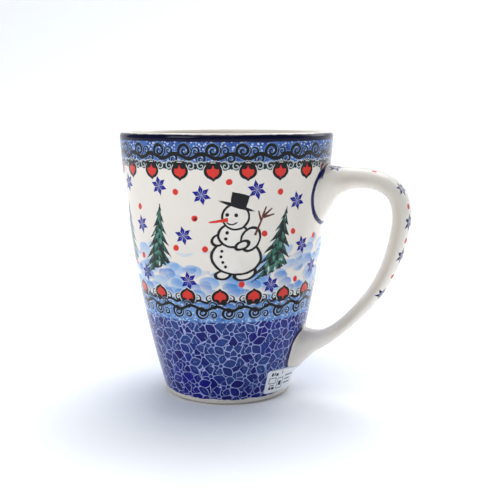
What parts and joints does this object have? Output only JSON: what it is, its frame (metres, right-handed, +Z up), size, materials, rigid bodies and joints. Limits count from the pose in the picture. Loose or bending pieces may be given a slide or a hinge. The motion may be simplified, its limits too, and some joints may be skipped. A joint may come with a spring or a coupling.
{
  "type": "mug",
  "caption": "Tapered stoneware mug with a pulled strap handle, a painted blue glaze outside and a cream glaze inside.",
  "frame": {"origin": "middle of the foot, on the plane that the mug stands on", "axes": "+Z up through the mouth, +X towards the handle"},
  "size_m": [0.1234, 0.0898, 0.111],
  "materials": {
    "biscuit": "bare fired stoneware",
    "slip": "fired joining slip",
    "painted_glaze": "clear gloss glaze over cobalt folk painting",
    "clear_glaze": "clear gloss glaze over cream stoneware",
    "label_paper": "coated white paper with plain black marks"
  },
  "bodies": {
    "root": {"cup_body": "biscuit", "handle": "biscuit", "upper_slip_joint": "slip", "lower_slip_joint": "slip", "outer_glaze": "painted_glaze", "inner_glaze": "clear_glaze", "base_glaze": "clear_glaze", "handle_glaze": "clear_glaze", "price_label": "label_paper"}
  },
  "joints": []
}
